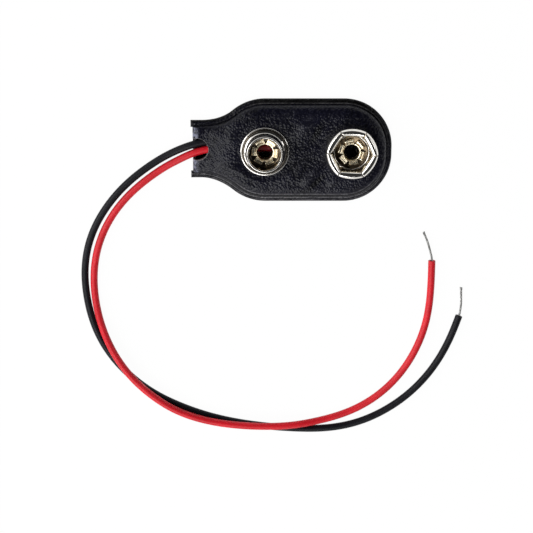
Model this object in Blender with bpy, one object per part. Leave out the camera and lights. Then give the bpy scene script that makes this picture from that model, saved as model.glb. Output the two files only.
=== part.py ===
"""Battery snap connector, 9 V style.

A folded strip of vinyl, welded round its rim, holds a stiff board. A stud terminal and a
socket terminal are riveted through the front leaf and the board with split brass eyelets.
A red and a black lead come in through a notch in the fold and are soldered to the eyelets.

Metres, +Z up. The origin is on the flat face of the back leaf, midway between the two
terminals. +X points from the stud to the socket and +Z out of the terminals.
"""

import math

import bmesh
import bpy
import numpy as np
from mathutils import Matrix, Vector

# Spacing and fits
TERMINAL_PITCH = 0.0127
SEAT = 0.00002  # between pieces that are pressed together
HOLE_CLEARANCE = 0.00004  # round an eyelet's barrel

# Cover: the outline
COVER_WIDTH = 0.0154
COVER_OFFSET = 0.0002  # how far the wide part lies to the -Y side of the terminals' line
NECK_WIDTH = 0.0086
END_FLAT = 0.0012  # straight part of the round end
END_REACH = 0.00605  # from the socket's axis to the end of the rim
FOLD_REACH = 0.01065  # from the stud's axis to the fold
NECK_LENGTH = 0.0012  # straight edge beside the fold
SHOULDER_LENGTH = 0.0095  # along X, from the neck to the full width
EAR_OVERHANG = 0.0003  # how far the welded corners stand past the fold
EAR_WIDTH = 0.0010

# Cover: the section
LEAF = 0.0004
RIM_WIDTH = 0.00085
RIM_THICKNESS = 0.0008
RIM_LIFT = 0.00035  # the rim's underside above the back leaf's flat face
WELD_STEP = 0.00035  # the sharp step up from the rim to the front leaf
FRONT_RISE = 0.0016  # width over which the front leaf rises to the board
BACK_RISE = 0.0010  # width over which the back leaf curves up to the rim
NOTCH_RADIUS = 0.00165
NOTCH_INSET = 0.0007  # from the fold to the notch's centre
NOTCH_OFFSET = 0.00015

# Board
BOARD_THICKNESS = 0.0005
BOARD_REACH = 0.0040  # past the stud's axis, towards the fold
BOARD_MARGIN = 0.0003  # round the board, inside the cover

# Leads
LEAD_DIAMETER = 0.0011
LEAD_CLEARANCE = 0.00004  # above and below a lead inside the cover
STRAND_DIAMETER = 0.0003
SOLDER_RADIUS = 0.00052
SOLDER_HEIGHT = 0.00045
BLACK_JOINT_ANGLE = math.radians(120)
RED_JOINT_ANGLE = math.radians(173)
STRAND_SEAT = 0.55  # depth of a conductor in its solder, as a share of the joint's height

# Eyelets
EYELET_BORE_RADIUS = 0.00109
EYELET_WALL = 0.00016
EYELET_FLANGE_RADIUS = 0.0021
PETAL_CLEARANCE = 0.0002  # from the petals' corners to the stud's inner wall
PETAL_RISE = 0.00042  # height of the rolled petals over the terminal's floor
PETAL_COUNT = 6
PETAL_GAP = 0.0007  # width of the gap between two petals at its open end
PETAL_RING = 0.0002  # what is left whole between the barrel and a gap's point
STUD_PETAL_ANGLE = math.radians(55)
SOCKET_PETAL_ANGLE = math.radians(42)

# Stud terminal
STUD_BEAD_RADIUS = 0.00285  # what a battery's socket grips
STUD_BEAD_DEPTH = 0.00017  # the neck's depth under the bead
STUD_WALL = 0.00035
STUD_RIM_INSET = 0.0003  # from the bead to the crest of the rim
STUD_HEIGHT = 0.0024
STUD_BEAD_DROP = 0.00065  # the bead's middle below the rim
STUD_FILLET = 0.00045  # from the neck out to the flange's trough
STUD_FLANGE_WIDTH = 0.00045  # from the trough to the flange's edge
STUD_EDGE_HEIGHT = 0.00036
STUD_FLOOR = 0.00024

# Socket terminal
SOCKET_GRIP = 0.00029  # how far the lips reach under the bead of a stud like this one
SOCKET_LIP_WIDTH = 0.00072  # from the lips out to the crest
SOCKET_CREST_WIDTH = 0.00049  # from the crest out to the widest place
SOCKET_FLARE = 0.00042  # from the base's edge out to the widest place
SOCKET_HEIGHT = 0.0023
SOCKET_BARREL_DROP = 0.00085  # the widest place below the crest
SOCKET_LIP_DROP = 0.00065  # the lips' ends below the crest
SOCKET_SHEET = 0.00025
SOCKET_STEP = 0.00030  # height of the low step round the floor
SLIT_WIDTH = 0.00016
SLIT_RISE = 0.00005  # the bottom of a slit above the step
SLIT_COUNT = 6
SLIT_ANGLE = math.radians(-3)

# Fineness of the round forms
ROUND_SIDES = 40
SIDES_PER_EYELET_PETAL = 5
SIDES_PER_PETAL = 8
HOLE_SIDES = 28
ARC_STEPS = 7
FOLD_STEPS = 6
LEAD_STEP = 2.5  # spacing of a lead's points, in diameters

# The leads' routes, from the inner end to the free end
RED_ROUTE = [
    (0.00340, 0.00026, 0.00099),
    (-0.00150, 0.00028, 0.00099),
    (-0.00635, 0.00024, 0.00099),
    (-0.01100, 0.00016, 0.00099),
    (-0.01490, -0.00004, 0.00100),
    (-0.01690, -0.00056, 0.00100),
    (-0.01880, -0.00145, 0.00082),
    (-0.02080, -0.00254, 0.00062),
    (-0.02315, -0.00409, 0.00057),
    (-0.02690, -0.00731, 0.00057),
    (-0.02992, -0.01136, 0.00057),
    (-0.03184, -0.01632, 0.00057),
    (-0.03230, -0.02180, 0.00062),
    (-0.03155, -0.02670, 0.00098),
    (-0.02990, -0.03110, 0.00148),
    (-0.02740, -0.03510, 0.00170),
    (-0.02410, -0.03850, 0.00172),
    (-0.02022, -0.04115, 0.00170),
    (-0.01580, -0.04280, 0.00170),
    (-0.01130, -0.04360, 0.00172),
    (-0.00680, -0.04388, 0.00170),
    (-0.00230, -0.04378, 0.00147),
    (0.00225, -0.04320, 0.00080),
    (0.00665, -0.04185, 0.00057),
    (0.01084, -0.03937, 0.00057),
    (0.01434, -0.03584, 0.00057),
    (0.01690, -0.03150, 0.00057),
    (0.01838, -0.02690, 0.00057),
    (0.01890, -0.02220, 0.00057),
    (0.01895, -0.01726, 0.00057),
]
BLACK_ROUTE = [
    (-0.00895, 0.00146, 0.00099),
    (-0.01200, 0.00140, 0.00099),
    (-0.01530, 0.00112, 0.00100),
    (-0.01700, 0.00070, 0.00100),
    (-0.01890, -0.00002, 0.00082),
    (-0.02090, -0.00100, 0.00062),
    (-0.02365, -0.00271, 0.00057),
    (-0.02712, -0.00552, 0.00057),
    (-0.03035, -0.00934, 0.00057),
    (-0.03265, -0.01382, 0.00057),
    (-0.03362, -0.01850, 0.00057),
    (-0.03345, -0.02320, 0.00057),
    (-0.03240, -0.02780, 0.00057),
    (-0.03040, -0.03195, 0.00057),
    (-0.02745, -0.03560, 0.00057),
    (-0.02380, -0.03860, 0.00057),
    (-0.01970, -0.04080, 0.00057),
    (-0.01550, -0.04240, 0.00057),
    (-0.01120, -0.04350, 0.00057),
    (-0.00680, -0.04420, 0.00057),
    (-0.00220, -0.04460, 0.00057),
    (0.00270, -0.04462, 0.00057),
    (0.00774, -0.04370, 0.00057),
    (0.01246, -0.04151, 0.00057),
    (0.01677, -0.03808, 0.00057),
    (0.02018, -0.03366, 0.00057),
    (0.02242, -0.02894, 0.00057),
    (0.02339, -0.02608, 0.00057),
]
# Where the bare conductors end
RED_TIP_END = (0.01755, -0.01275, 0.00030)
BLACK_TIP_END = (0.02360, -0.02155, 0.00030)

# Heights that follow from the stack, from the back leaf outwards
EYELET_BASE = LEAF + LEAD_DIAMETER + 2 * LEAD_CLEARANCE
BOARD_BASE = EYELET_BASE + EYELET_WALL + SEAT
FRONT_INSIDE = BOARD_BASE + BOARD_THICKNESS + SEAT
FRONT_TOP = FRONT_INSIDE + LEAF
TERMINAL_BASE = FRONT_TOP + SEAT
RIM_TOP = RIM_LIFT + RIM_THICKNESS
NECK_TOP = 2 * LEAF + LEAD_DIAMETER + 2 * LEAD_CLEARANCE + SEAT

# Places along X
STUD_X = -TERMINAL_PITCH / 2
SOCKET_X = TERMINAL_PITCH / 2
FOLD_X = STUD_X - FOLD_REACH
END_X = SOCKET_X + END_REACH
NECK_X = FOLD_X + NECK_LENGTH
SHOULDER_X = NECK_X + SHOULDER_LENGTH
BOARD_X = STUD_X - BOARD_REACH
CLIMB_START = NECK_X
CLIMB_END = BOARD_X - 2 * BOARD_MARGIN

# Radii that follow from a neighbour's
BARREL_RADIUS = EYELET_BORE_RADIUS + EYELET_WALL
HOLE_RADIUS = BARREL_RADIUS + HOLE_CLEARANCE
BOARD_INSET = RIM_WIDTH + LEAF + FRONT_RISE + BOARD_MARGIN
SOLDER_PLACE = (BARREL_RADIUS + EYELET_FLANGE_RADIUS) / 2
STUD_NECK_RADIUS = STUD_BEAD_RADIUS - STUD_BEAD_DEPTH
STUD_RIM_RADIUS = STUD_BEAD_RADIUS - STUD_RIM_INSET
STUD_OPENING_RADIUS = STUD_NECK_RADIUS - STUD_WALL
STUD_TROUGH_RADIUS = STUD_NECK_RADIUS + STUD_FILLET
STUD_FLANGE_RADIUS = STUD_TROUGH_RADIUS + STUD_FLANGE_WIDTH
PETAL_CORNER_RADIUS = STUD_OPENING_RADIUS - PETAL_CLEARANCE
SOCKET_FLOOR_RADIUS = STUD_OPENING_RADIUS
SOCKET_LIP_RADIUS = STUD_BEAD_RADIUS - SOCKET_GRIP
SOCKET_CREST_RADIUS = SOCKET_LIP_RADIUS + SOCKET_LIP_WIDTH
SOCKET_BARREL_RADIUS = SOCKET_CREST_RADIUS + SOCKET_CREST_WIDTH
SOCKET_BASE_RADIUS = SOCKET_BARREL_RADIUS - SOCKET_FLARE


def clear_scene():
    for obj in list(bpy.data.objects):
        bpy.data.objects.remove(obj, do_unlink=True)


def material(name, colour, roughness, metallic=0.0):
    mat = bpy.data.materials.new(name)
    mat.use_nodes = True
    shader = mat.node_tree.nodes["Principled BSDF"]
    shader.inputs["Base Color"].default_value = (*colour, 1.0)
    shader.inputs["Roughness"].default_value = roughness
    shader.inputs["Metallic"].default_value = metallic
    mat.diffuse_color = (*colour, 1.0)
    return mat


def mesh_object(name, bm, mat=None, place=(0.0, 0.0, 0.0), smooth=None):
    """Makes an object of the bmesh, shaded smooth where its faces meet below the given angle."""
    bmesh.ops.recalc_face_normals(bm, faces=bm.faces)
    mesh = bpy.data.meshes.new(name)
    bm.to_mesh(mesh)
    bm.free()
    obj = bpy.data.objects.new(name, mesh)
    bpy.context.scene.collection.objects.link(obj)
    obj.location = place
    if mat is not None:
        mesh.materials.append(mat)
    if smooth is not None:
        mesh.shade_smooth()
        mesh.set_sharp_from_angle(angle=math.radians(smooth))
    return obj


def combine(obj, other, operation):
    """Adds a Boolean whose second shape is hidden from the render."""
    other.hide_render = True
    other.display_type = "WIRE"
    step = obj.modifiers.new(other.name, "BOOLEAN")
    step.object = other
    step.operation = operation
    step.solver = "EXACT"


def turned(section, sides, shape=None):
    """Turns a closed (radius, height) section round Z. shape(point, angle) may give another radius."""
    bm = bmesh.new()
    rings = []
    for k in range(sides):
        angle = 2 * math.pi * k / sides
        ring = []
        for point in section:
            radius = shape(point, angle) if shape else point[0]
            ring.append(bm.verts.new((radius * math.cos(angle), radius * math.sin(angle), point[1])))
        rings.append(ring)
    count = len(section)
    for k, ring in enumerate(rings):
        following = rings[(k + 1) % sides]
        for j in range(count):
            n = (j + 1) % count
            bm.faces.new((ring[j], following[j], following[n], ring[n]))
    return bm


def sided(count):
    """A radius between a circle's and a polygon's, by the third number of the section's point."""
    side = 2 * math.pi / count

    def radius(point, angle):
        return point[0] * (1 - point[2] + point[2] / math.cos(angle % side - side / 2))

    return radius


def prism(outline, low, high, place=(0.0, 0.0)):
    """Extrudes a closed (x, y) outline from one height to another."""
    bm = bmesh.new()
    rings = [[bm.verts.new((x + place[0], y + place[1], z)) for x, y in outline] for z in (low, high)]
    bm.faces.new(rings[0][::-1])
    bm.faces.new(rings[1])
    for i in range(len(outline)):
        n = (i + 1) % len(outline)
        bm.faces.new((rings[0][i], rings[0][n], rings[1][n], rings[1][i]))
    return bm


def circle(radius, sides, turn=0.0):
    angles = [turn + 2 * math.pi * k / sides for k in range(sides)]
    return [(radius * math.cos(a), radius * math.sin(a)) for a in angles]


def arc(centre, radii, start, end, steps):
    """Points on an elliptic arc in a section, both ends included. Angles are in degrees."""
    points = []
    for k in range(steps + 1):
        a = math.radians(start + (end - start) * k / steps)
        points.append((centre[0] + radii[0] * math.cos(a), centre[1] + radii[1] * math.sin(a)))
    return points


def rod(start, end, radius, sides=10):
    """A straight round bar between two points."""
    start, end = Vector(start), Vector(end)
    bm = bmesh.new()
    bmesh.ops.create_cone(
        bm, cap_ends=True, segments=sides, radius1=radius, radius2=radius, depth=(end - start).length
    )
    turn = (end - start).to_track_quat("Z", "Y").to_matrix().to_4x4()
    bmesh.ops.transform(bm, matrix=Matrix.Translation((start + end) / 2) @ turn, verts=bm.verts)
    return bm


def half_outline(inset):
    """The +Y half of the cover's outline, from the fold round to the end's flat, set in by a distance."""
    neck, body = NECK_WIDTH / 2, COVER_WIDTH / 2
    widening = body - neck
    radius = (SHOULDER_LENGTH**2 + widening**2) / (4 * widening)
    turn = 2 * math.atan2(widening, SHOULDER_LENGTH)
    end_radius = body - END_FLAT / 2
    end_x, end_y = END_X - end_radius, END_FLAT / 2
    points = [(FOLD_X, neck - inset)]
    for k in range(ARC_STEPS + 1):
        a = turn * k / ARC_STEPS
        points.append(
            (NECK_X + (radius + inset) * math.sin(a), neck + radius - (radius + inset) * math.cos(a))
        )
    for k in range(ARC_STEPS - 1, -1, -1):
        a = turn * k / ARC_STEPS
        points.append(
            (SHOULDER_X - (radius - inset) * math.sin(a), body - radius + (radius - inset) * math.cos(a))
        )
    corner = end_radius - inset
    for k in range(2 * ARC_STEPS + 1):
        a = math.pi / 2 * (1 - k / (2 * ARC_STEPS))
        points.append((end_x + corner * math.cos(a), end_y + corner * math.sin(a)))
    return points


def mirrored(half):
    """A closed outline from its +Y half."""
    return half + [(x, -y) for x, y in half[::-1]]


def off_centre(bm):
    """Moves the wide part sideways, as the strip lies a little off the terminals' line."""
    for v in bm.verts:
        t = min(1.0, max(0.0, 2 * (v.co.x - NECK_X) / SHOULDER_LENGTH))
        v.co.y -= COVER_OFFSET * t * t * (3 - 2 * t)
    return bm


def front_height(x):
    """The front leaf's outer height: low over the neck, then up to the board."""
    t = min(1.0, max(0.0, (x - CLIMB_START) / (CLIMB_END - CLIMB_START)))
    return NECK_TOP + (FRONT_TOP - NECK_TOP) * t * t * (3 - 2 * t)


def pouch(wall):
    """The bulged part between the weld lines: its outside for a wall of 0, its inside for a leaf's."""
    weld_top = RIM_TOP + WELD_STEP
    edge = RIM_WIDTH + wall
    lift = RIM_LIFT + 0.2 * RIM_THICKNESS  # it ends inside the rim
    back = [(edge + BACK_RISE * t, wall + lift * (1 - math.sin(math.pi / 2 * t))) for t in (1, 0.5, 0)]
    front = [0, 0.15, 0.35, 0.6, 1]

    def column(station):
        """Heights at one place along the outline, from the back leaf's flat face to the front leaf's."""
        points = []
        for inset, height in back:
            x, y = outlines[inset][station]
            points.append((x, y, height))
        for t in front:
            x, y = outlines[edge + FRONT_RISE * t][station]
            top = front_height(x)
            points.append((x, y, weld_top + (top - weld_top) * math.sin(math.pi / 2 * t) - wall))
        return points

    insets = [inset for inset, _ in back] + [edge + FRONT_RISE * t for t in front]
    outlines = {inset: half_outline(inset) for inset in insets}
    stations = len(outlines[edge])

    # The fold is half an ellipse: its sections shrink towards the middle height.
    columns = []
    middle = NECK_TOP / 2
    reach = NECK_TOP / 2 - wall
    first = column(0)
    for k in range(1, FOLD_STEPS):
        a = math.pi / 2 * k / FOLD_STEPS
        x = FOLD_X + wall + reach * (1 - math.cos(a))
        columns.append([(x, y, middle + (z - middle) * math.sin(a)) for _, y, z in first])
    columns.append([(FOLD_X + wall + reach, y, z) for _, y, z in first])
    columns += [column(s) for s in range(1, stations)]

    bm = bmesh.new()
    right = [[bm.verts.new(p) for p in points] for points in columns]
    left = [[bm.verts.new((x, -y, z)) for x, y, z in points] for points in columns]
    ring = right + left[::-1]
    for here, there in zip(ring[:-1], ring[1:]):
        for j in range(len(here) - 1):
            bm.faces.new((here[j], here[j + 1], there[j + 1], there[j]))
    for row in (0, -1):
        for i in range(len(columns) - 1):
            bm.faces.new((right[i][row], right[i + 1][row], left[i + 1][row], left[i][row]))
    bm.faces.new(right[0] + left[0][::-1])
    return off_centre(bm)


def rim_plate():
    """The welded rim, with an ear on either side of the fold."""
    half = half_outline(0.0)
    half[0] = (FOLD_X - EAR_OVERHANG, half[0][1])
    behind_fold = FOLD_X + NECK_TOP
    inner = NECK_WIDTH / 2 - EAR_WIDTH
    half = [(behind_fold, inner), (FOLD_X - EAR_OVERHANG, inner)] + half
    outline = mirrored(half)
    return off_centre(prism(outline, RIM_LIFT, RIM_TOP))


def make_cover(vinyl):
    """One strip, folded and welded: the rim, the pouch, its inside, the rivet holes and the notch."""
    cover = mesh_object("cover", pouch(0.0), vinyl, smooth=40)
    combine(cover, mesh_object("cover_rim", rim_plate()), "UNION")
    combine(cover, mesh_object("cover_inside", pouch(LEAF)), "DIFFERENCE")
    for name, x in (("stud_hole", STUD_X), ("socket_hole", SOCKET_X)):
        hole = prism(circle(HOLE_RADIUS, HOLE_SIDES), FRONT_INSIDE - LEAF, FRONT_TOP + LEAF, (x, 0.0))
        combine(cover, mesh_object(name, hole), "DIFFERENCE")
    notch = prism(
        circle(NOTCH_RADIUS, HOLE_SIDES), LEAF + SEAT / 2, FRONT_TOP, (FOLD_X + NOTCH_INSET, NOTCH_OFFSET)
    )
    combine(cover, mesh_object("lead_notch", notch), "DIFFERENCE")
    return cover


def make_board(fibre):
    """The stiff board under the front leaf. It follows the cover's outline."""
    outline = half_outline(BOARD_INSET)
    after = next(i for i, (x, _) in enumerate(outline) if x > BOARD_X)
    (x0, y0), (x1, y1) = outline[after - 1], outline[after]
    share = (BOARD_X - x0) / (x1 - x0)
    half = [(BOARD_X, y0 + (y1 - y0) * share)] + outline[after:]
    sheet = off_centre(prism(mirrored(half), BOARD_BASE, BOARD_BASE + BOARD_THICKNESS))
    board = mesh_object("carrier_board", sheet, fibre)
    for name, x in (("board_stud_hole", STUD_X), ("board_socket_hole", SOCKET_X)):
        low, high = BOARD_BASE - BOARD_THICKNESS, BOARD_BASE + 2 * BOARD_THICKNESS
        hole = prism(circle(HOLE_RADIUS, HOLE_SIDES), low, high, (x, 0.0))
        combine(board, mesh_object(name, hole), "DIFFERENCE")
    return board


def stud_section():
    """The stud's section: flange with a raised edge, neck groove, bead, rolled rim, inner wall and floor."""
    edge = STUD_EDGE_HEIGHT / 2
    bead = STUD_HEIGHT - STUD_BEAD_DROP
    points = [(HOLE_RADIUS, 0.0)]
    points += arc((STUD_FLANGE_RADIUS - edge, edge), (edge, edge), -90, 90, 4)
    points += [((STUD_FLANGE_RADIUS - edge + STUD_TROUGH_RADIUS) / 2, STUD_FLOOR)]
    points += arc((STUD_TROUGH_RADIUS, STUD_FLOOR + STUD_FILLET), (STUD_FILLET, STUD_FILLET), 270, 180, 3)
    points += arc((STUD_NECK_RADIUS, bead), (STUD_BEAD_DEPTH, 0.45 * STUD_BEAD_DROP), -60, 30, 3)
    crown = (STUD_BEAD_DEPTH, 0.65 * STUD_BEAD_DROP)
    points += arc((STUD_RIM_RADIUS, STUD_HEIGHT - 0.65 * STUD_BEAD_DROP), crown, 35, 90, 3)
    turn = STUD_RIM_RADIUS - STUD_OPENING_RADIUS
    points += arc((STUD_RIM_RADIUS - 0.45 * turn, STUD_HEIGHT - turn), (0.55 * turn, turn), 90, 180, 3)
    corner = STUD_FLOOR
    points += arc((STUD_OPENING_RADIUS - corner, STUD_FLOOR + corner), (corner, corner), 0, -90, 3)
    points += [(HOLE_RADIUS, STUD_FLOOR)]
    return points


def make_stud(nickel):
    place = (STUD_X, 0.0, TERMINAL_BASE)
    return mesh_object("stud_terminal", turned(stud_section(), ROUND_SIDES), nickel, place, smooth=40)


def socket_section():
    """Half of the socket's section as (radius, height, hexagon share): 0 is round and 1 has flat sides."""
    sheet = SOCKET_SHEET
    barrel = SOCKET_HEIGHT - SOCKET_BARREL_DROP
    outer = [
        (HOLE_RADIUS, 0.0, 0.0),
        (SOCKET_BASE_RADIUS - sheet, 0.0, 0.0),
        (SOCKET_BASE_RADIUS, 0.5 * sheet, 0.0),
    ]
    for t in (0.35, 0.7, 1.0):
        a = math.pi / 2 * t
        outer.append((SOCKET_BASE_RADIUS + SOCKET_FLARE * math.sin(a), barrel * (0.12 + 0.88 * t), 0.14 * t))
    for t in (0.35, 0.65, 1.0):
        a = math.pi / 2 * t
        outer.append(
            (
                SOCKET_CREST_RADIUS + SOCKET_CREST_WIDTH * math.cos(a),
                barrel + SOCKET_BARREL_DROP * math.sin(a),
                0.14 + 0.30 * t,
            )
        )
    lip = SOCKET_HEIGHT - SOCKET_LIP_DROP
    outer.append((SOCKET_CREST_RADIUS - 0.2 * SOCKET_LIP_WIDTH, SOCKET_HEIGHT, 0.55))
    for t in (0.4, 0.7, 1.0):
        a = math.pi / 2 * t
        outer.append(
            (
                SOCKET_CREST_RADIUS - SOCKET_LIP_WIDTH * (0.2 + 0.8 * math.sin(a)),
                lip + SOCKET_LIP_DROP * math.cos(a),
                0.55 + 0.45 * t,
            )
        )
    inner = [
        (SOCKET_LIP_RADIUS + 0.35 * sheet, lip - 0.4 * sheet, 1.0),
        (SOCKET_LIP_RADIUS + sheet, lip + 0.1 * sheet, 0.95),
        (SOCKET_CREST_RADIUS - 0.45 * SOCKET_LIP_WIDTH, SOCKET_HEIGHT - 1.35 * sheet, 0.7),
        (SOCKET_CREST_RADIUS, SOCKET_HEIGHT - 1.1 * sheet, 0.44),
        (SOCKET_BARREL_RADIUS - 1.3 * sheet, barrel + 0.45 * SOCKET_BARREL_DROP, 0.24),
        (SOCKET_BARREL_RADIUS - sheet, barrel, 0.14),
        (SOCKET_BASE_RADIUS + 0.7 * SOCKET_FLARE - sheet, 0.6 * barrel, 0.07),
        (SOCKET_BASE_RADIUS - sheet, sheet + SOCKET_STEP, 0.0),
        (SOCKET_FLOOR_RADIUS + 0.5 * SOCKET_STEP, sheet + SOCKET_STEP, 0.0),
        (SOCKET_FLOOR_RADIUS, sheet, 0.0),
        (HOLE_RADIUS, sheet, 0.0),
    ]
    return outer + inner


def make_socket(nickel):
    """The socket: a round base whose wall is slit into six petals with lips rolled inwards."""
    bm = turned(socket_section(), SLIT_COUNT * SIDES_PER_PETAL, sided(SLIT_COUNT))
    bmesh.ops.rotate(bm, matrix=Matrix.Rotation(SLIT_ANGLE, 3, "Z"), verts=bm.verts)
    place = (SOCKET_X, 0.0, TERMINAL_BASE)
    socket = mesh_object("socket_terminal", bm, nickel, place, smooth=40)
    slits = bmesh.new()
    for k in range(SLIT_COUNT):
        angle = SLIT_ANGLE + 2 * math.pi * k / SLIT_COUNT
        inside, outside = 0.8 * SOCKET_LIP_RADIUS, 1.3 * SOCKET_BARREL_RADIUS
        half = SLIT_WIDTH / 2
        made = bmesh.ops.create_cube(slits, size=1.0)["verts"]
        for v in made:
            v.co = Vector(
                (
                    outside if v.co.x > 0 else inside,
                    half if v.co.y > 0 else -half,
                    2 * SOCKET_HEIGHT if v.co.z > 0 else SOCKET_SHEET + SOCKET_STEP + SLIT_RISE,
                )
            )
        bmesh.ops.rotate(slits, matrix=Matrix.Rotation(angle, 3, "Z"), verts=made)
    combine(socket, mesh_object("socket_slits", slits, place=place), "DIFFERENCE")
    return socket


def petal_reach():
    """From the axis to a petal's straight end, so that its corners keep clear of the stud's wall."""
    half = math.pi / PETAL_COUNT
    gap, radius = PETAL_GAP / 2, PETAL_CORNER_RADIUS
    lean = gap * math.tan(half)
    return (lean + math.sqrt(lean**2 + (radius**2 - gap**2) / math.cos(half) ** 2)) * math.cos(half) ** 2


def eyelet_section(floor):
    """The eyelet's section: flange behind the board, barrel, and petals rolled over on a terminal's floor."""
    wall = EYELET_WALL
    seat = floor + SEAT
    reach = petal_reach()
    middle, half = (EYELET_BORE_RADIUS + reach) / 2, (reach - EYELET_BORE_RADIUS) / 2
    under = (BARREL_RADIUS + reach) / 2
    points = [(EYELET_BORE_RADIUS + 0.5 * wall, 0.0)]
    points += arc((EYELET_FLANGE_RADIUS - wall / 2, wall / 2), (wall / 2, wall / 2), -90, 90, 2)
    points += [(BARREL_RADIUS, wall), (BARREL_RADIUS, seat)]
    points += arc((under, seat), (reach - under - 0.4 * wall, PETAL_RISE - wall), 165, 10, 4)
    points += [(reach - 0.4 * wall, seat), (reach, seat + 0.3 * wall)]
    points += arc((middle, seat), (half, PETAL_RISE), 25, 155, 5)
    points += [(EYELET_BORE_RADIUS, seat + 0.1 * PETAL_RISE), (EYELET_BORE_RADIUS, 0.5 * wall)]
    # The barrel is round. A petal is flatter the farther out it is, and its end is straight.
    full = reach - BARREL_RADIUS
    return [
        (r, z, min(1.0, max(0.0, (r - BARREL_RADIUS) / full)) ** 0.6 if z > floor else 0.0) for r, z in points
    ]


def make_eyelet(name, brass, x, floor, petal_angle):
    """A brass eyelet whose split end is rolled outwards into six straight-ended petals."""
    floor_height = TERMINAL_BASE - EYELET_BASE + floor
    place = (x, 0.0, EYELET_BASE)
    sector = 2 * math.pi / PETAL_COUNT
    bm = turned(eyelet_section(floor_height), PETAL_COUNT * SIDES_PER_EYELET_PETAL, sided(PETAL_COUNT))
    bmesh.ops.rotate(bm, matrix=Matrix.Rotation(petal_angle - sector / 2, 3, "Z"), verts=bm.verts)
    eyelet = mesh_object(name, bm, brass, place, smooth=40)

    gaps = bmesh.new()
    start, corner = BARREL_RADIUS + PETAL_RING, petal_reach() / math.cos(sector / 2)
    far = 1.5 * corner
    spread = PETAL_GAP / 2 * (far - start) / (corner - start)
    for k in range(PETAL_COUNT):
        outline = [(start, 0.0), (far, -spread), (far, spread)]
        wedge = prism(outline, floor_height, floor_height + 2 * PETAL_RISE)
        turn = Matrix.Rotation(petal_angle + sector * (k + 0.5), 3, "Z")
        bmesh.ops.rotate(wedge, matrix=turn, verts=wedge.verts)
        piece = bpy.data.meshes.new("gap")
        wedge.to_mesh(piece)
        wedge.free()
        gaps.from_mesh(piece)
        bpy.data.meshes.remove(piece)
    combine(eyelet, mesh_object(name + "_gaps", gaps, place=place), "DIFFERENCE")
    return eyelet


def smooth_route(points, step):
    """Points at even steps along the natural cubic curve through the given ones."""
    p = np.array(points)
    along = np.concatenate([[0.0], np.cumsum(np.linalg.norm(np.diff(p, axis=0), axis=1))])
    gap = np.diff(along)
    count = len(p)
    system, sides = np.zeros((count, count)), np.zeros((count, 3))
    system[0, 0] = system[-1, -1] = 1.0
    for i in range(1, count - 1):
        system[i, i - 1 : i + 2] = gap[i - 1], 2 * (gap[i - 1] + gap[i]), gap[i]
        sides[i] = 6 * ((p[i + 1] - p[i]) / gap[i] - (p[i] - p[i - 1]) / gap[i - 1])
    bend = np.linalg.solve(system, sides)
    route = []
    for s in np.linspace(0.0, along[-1], round(along[-1] / step) + 1):
        i = min(int(np.searchsorted(along, s, "right")) - 1, count - 2)
        before, after, h = s - along[i], along[i + 1] - s, gap[i]
        route.append(
            (bend[i] * after**3 + bend[i + 1] * before**3) / (6 * h)
            + (p[i] / h - bend[i] * h / 6) * after
            + (p[i + 1] / h - bend[i + 1] * h / 6) * before
        )
    return route


def tube(name, points, diameter, mat):
    """A round wire along the points, with closed ends."""
    data = bpy.data.curves.new(name, "CURVE")
    data.dimensions = "3D"
    data.bevel_depth = diameter / 2
    data.bevel_resolution = 2
    data.use_fill_caps = True
    line = data.splines.new("POLY")
    line.points.add(len(points) - 1)
    for spot, point in zip(line.points, points):
        spot.co = (*point, 1.0)
    obj = bpy.data.objects.new(name, data)
    bpy.context.scene.collection.objects.link(obj)
    data.materials.append(mat)
    return obj


def make_lead(colour, route, tip_end, insulation, tinned):
    """A lead's insulation and the bare conductor that stands out of its free end."""
    points = smooth_route(route, LEAD_STEP * LEAD_DIAMETER)
    lead = tube(colour + "_lead", points, LEAD_DIAMETER, insulation)
    end, before = Vector(points[-1]), Vector(points[-2])
    start = end + (end - before).normalized() * SEAT
    tip = Vector(tip_end)
    # It leaves along the lead, then leans over to where it ends.
    bow = start + (end - before).normalized() * 0.25 * (tip - start).length
    bare = []
    for k in range(7):
        t = k / 6
        bare.append((1 - t) ** 2 * start + 2 * t * (1 - t) * bow + t**2 * tip)
    tube(colour + "_lead_tip", bare, STRAND_DIAMETER, tinned)
    return lead


def make_joint(colour, route, x, angle, tinned, solder):
    """The stripped inner end of a lead and the solder that holds it under an eyelet's flange."""
    joint = Vector((x + SOLDER_PLACE * math.cos(angle), SOLDER_PLACE * math.sin(angle), EYELET_BASE - SEAT))
    inner, following = Vector(route[0]), Vector(route[1])
    start = inner + (inner - following).normalized() * 2 * SEAT
    seat = joint - Vector((0.0, 0.0, STRAND_SEAT * SOLDER_HEIGHT))
    radius = STRAND_DIAMETER / 2
    mesh_object(colour + "_inner_end", rod(start, seat, radius), tinned, smooth=40)

    dome = bmesh.new()
    bmesh.ops.create_uvsphere(dome, u_segments=16, v_segments=10, radius=1.0)
    bmesh.ops.scale(dome, vec=(SOLDER_RADIUS, SOLDER_RADIUS, SOLDER_HEIGHT), verts=dome.verts)
    cut = bmesh.ops.bisect_plane(
        dome, geom=dome.verts[:] + dome.edges[:] + dome.faces[:], plane_co=(0, 0, -0.001 * SOLDER_HEIGHT),
        plane_no=(0, 0, 1), clear_outer=True
    )
    rim = [part for part in cut["geom_cut"] if isinstance(part, bmesh.types.BMEdge)]
    bmesh.ops.edgeloop_fill(dome, edges=rim)
    blob = mesh_object(colour + "_solder", dome, solder, joint, smooth=60)
    ahead = (seat - start).normalized() * SEAT
    channel = rod(start, seat + ahead, radius + SEAT)
    combine(blob, mesh_object(colour + "_channel", channel), "DIFFERENCE")


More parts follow.
